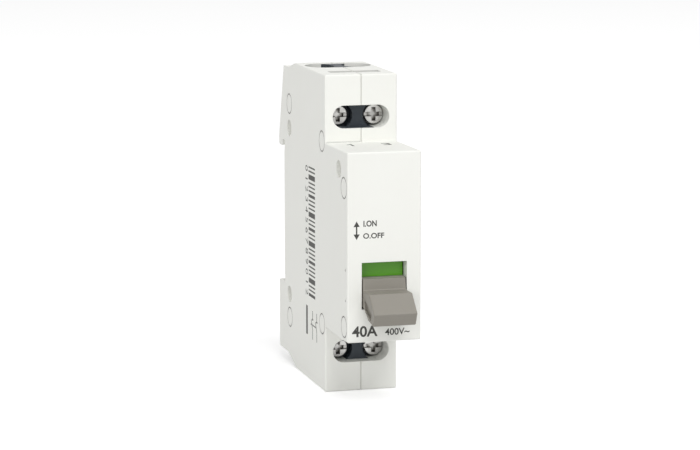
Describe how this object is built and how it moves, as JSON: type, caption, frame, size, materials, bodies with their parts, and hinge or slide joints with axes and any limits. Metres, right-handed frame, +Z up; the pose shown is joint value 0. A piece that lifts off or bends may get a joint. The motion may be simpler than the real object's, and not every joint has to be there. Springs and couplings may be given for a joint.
{
  "type": "din rail switch disconnector",
  "caption": "Narrow rail-mounted isolating switch with a toggle, a position flag, screw cage terminals at top and bottom, and a sprung clip for a 35 mm rail.",
  "frame": {"origin": "centre of the rail seat: middle of the width, on the rail's centre line, on the plane that the rail's front lies against", "axes": "+X to the right seen from the front, +Y back towards the rail and the wall, +Z up"},
  "size_m": [0.018, 0.0751, 0.0778],
  "materials": {
    "housing": "fine moulded texture",
    "slate": "matt",
    "toggle_grey": "satin",
    "flag_green": "satin",
    "zinc": "zinc plated",
    "spring_steel": "drawn wire",
    "copper": "half hard copper strip",
    "silver": "silver alloy",
    "carrier": "matt",
    "clip": "satin"
  },
  "bodies": {
    "case": {"left_housing": "housing", "right_housing": "housing", "pole_partition": "slate", "toggle_pin": "spring_steel", "detent_spring": "spring_steel", "terminal_bar_upper_left": "copper", "fixed_tip_upper_left": "silver", "terminal_bar_lower_left": "copper", "fixed_tip_lower_left": "silver", "terminal_bar_upper_right": "copper", "fixed_tip_upper_right": "silver", "terminal_bar_lower_right": "copper", "fixed_tip_lower_right": "silver", "clip_spring": "spring_steel"},
    "toggle": {"toggle": "toggle_grey", "open_flag": "flag_green", "drive_pin": "spring_steel"},
    "carrier": {"contact_carrier": "carrier", "contact_spring_left": "spring_steel", "contact_spring_right": "spring_steel"},
    "bridge_left": {"moving_contact_left": "copper", "moving_tips_left": "silver"},
    "bridge_right": {"moving_contact_right": "copper", "moving_tips_right": "silver"},
    "screw_upper_left": {"terminal_screw_upper_left": "zinc"},
    "cage_upper_left": {"cage_clamp_upper_left": "zinc"},
    "screw_lower_left": {"terminal_screw_lower_left": "zinc"},
    "cage_lower_left": {"cage_clamp_lower_left": "zinc"},
    "screw_upper_right": {"terminal_screw_upper_right": "zinc"},
    "cage_upper_right": {"cage_clamp_upper_right": "zinc"},
    "screw_lower_right": {"terminal_screw_lower_right": "zinc"},
    "cage_lower_right": {"cage_clamp_lower_right": "zinc"},
    "clip": {"rail_clip": "clip"}
  },
  "joints": [
    {"name": "toggle_swing", "type": "hinge", "parent": "case", "child": "toggle", "pos_m": [0, -0.0525, -0.009], "axis": [-1, 0, 0], "range_deg": [0, 42.4], "deforming": ["detent_spring"]},
    {"name": "carrier_slide", "type": "slide", "parent": "case", "child": "carrier", "axis": [0, 0, -1], "range_m": [0, 0.00573]},
    {"name": "bridge_float_left", "type": "slide", "parent": "carrier", "child": "bridge_left", "axis": [0, 0, 1], "range_m": [0, 0.0008], "stiffness_N_per_m": 500, "springref_m": -0.003, "deforming": ["contact_spring_left"]},
    {"name": "bridge_float_right", "type": "slide", "parent": "carrier", "child": "bridge_right", "axis": [0, 0, 1], "range_m": [0, 0.0008], "stiffness_N_per_m": 500, "springref_m": -0.003, "deforming": ["contact_spring_right"]},
    {"name": "screw_turn_upper_left", "type": "hinge", "parent": "case", "child": "screw_upper_left", "pos_m": [-0.0045, -0.03, 0.0286], "axis": [0, 1, 0], "range_deg": [0, 2530]},
    {"name": "cage_slide_upper_left", "type": "slide", "parent": "case", "child": "cage_upper_left", "axis": [0, -1, 0], "range_m": [0, 0.0042]},
    {"name": "screw_turn_lower_left", "type": "hinge", "parent": "case", "child": "screw_lower_left", "pos_m": [-0.0045, -0.03, -0.0286], "axis": [0, 1, 0], "range_deg": [0, 2530]},
    {"name": "cage_slide_lower_left", "type": "slide", "parent": "case", "child": "cage_lower_left", "axis": [0, -1, 0], "range_m": [0, 0.0042]},
    {"name": "screw_turn_upper_right", "type": "hinge", "parent": "case", "child": "screw_upper_right", "pos_m": [0.0045, -0.03, 0.0286], "axis": [0, 1, 0], "range_deg": [0, 2530]},
    {"name": "cage_slide_upper_right", "type": "slide", "parent": "case", "child": "cage_upper_right", "axis": [0, -1, 0], "range_m": [0, 0.0042]},
    {"name": "screw_turn_lower_right", "type": "hinge", "parent": "case", "child": "screw_lower_right", "pos_m": [0.0045, -0.03, -0.0286], "axis": [0, 1, 0], "range_deg": [0, 2530]},
    {"name": "cage_slide_lower_right", "type": "slide", "parent": "case", "child": "cage_lower_right", "axis": [0, -1, 0], "range_m": [0, 0.0042]},
    {"name": "clip_pull", "type": "slide", "parent": "case", "child": "clip", "axis": [0, 0, -1], "range_m": [0, 0.003], "stiffness_N_per_m": 1500, "springref_m": -0.002, "deforming": ["clip_spring"]}
  ],
  "couplings": [
    {"joint": "toggle_swing", "follows": "carrier_slide", "rad_per_m": 127.84},
    {"joint": "screw_turn_upper_left", "follows": "cage_slide_upper_left", "rad_per_m": 10472},
    {"joint": "screw_turn_lower_left", "follows": "cage_slide_lower_left", "rad_per_m": 10472},
    {"joint": "screw_turn_upper_right", "follows": "cage_slide_upper_right", "rad_per_m": 10472},
    {"joint": "screw_turn_lower_right", "follows": "cage_slide_lower_right", "rad_per_m": 10472}
  ]
}
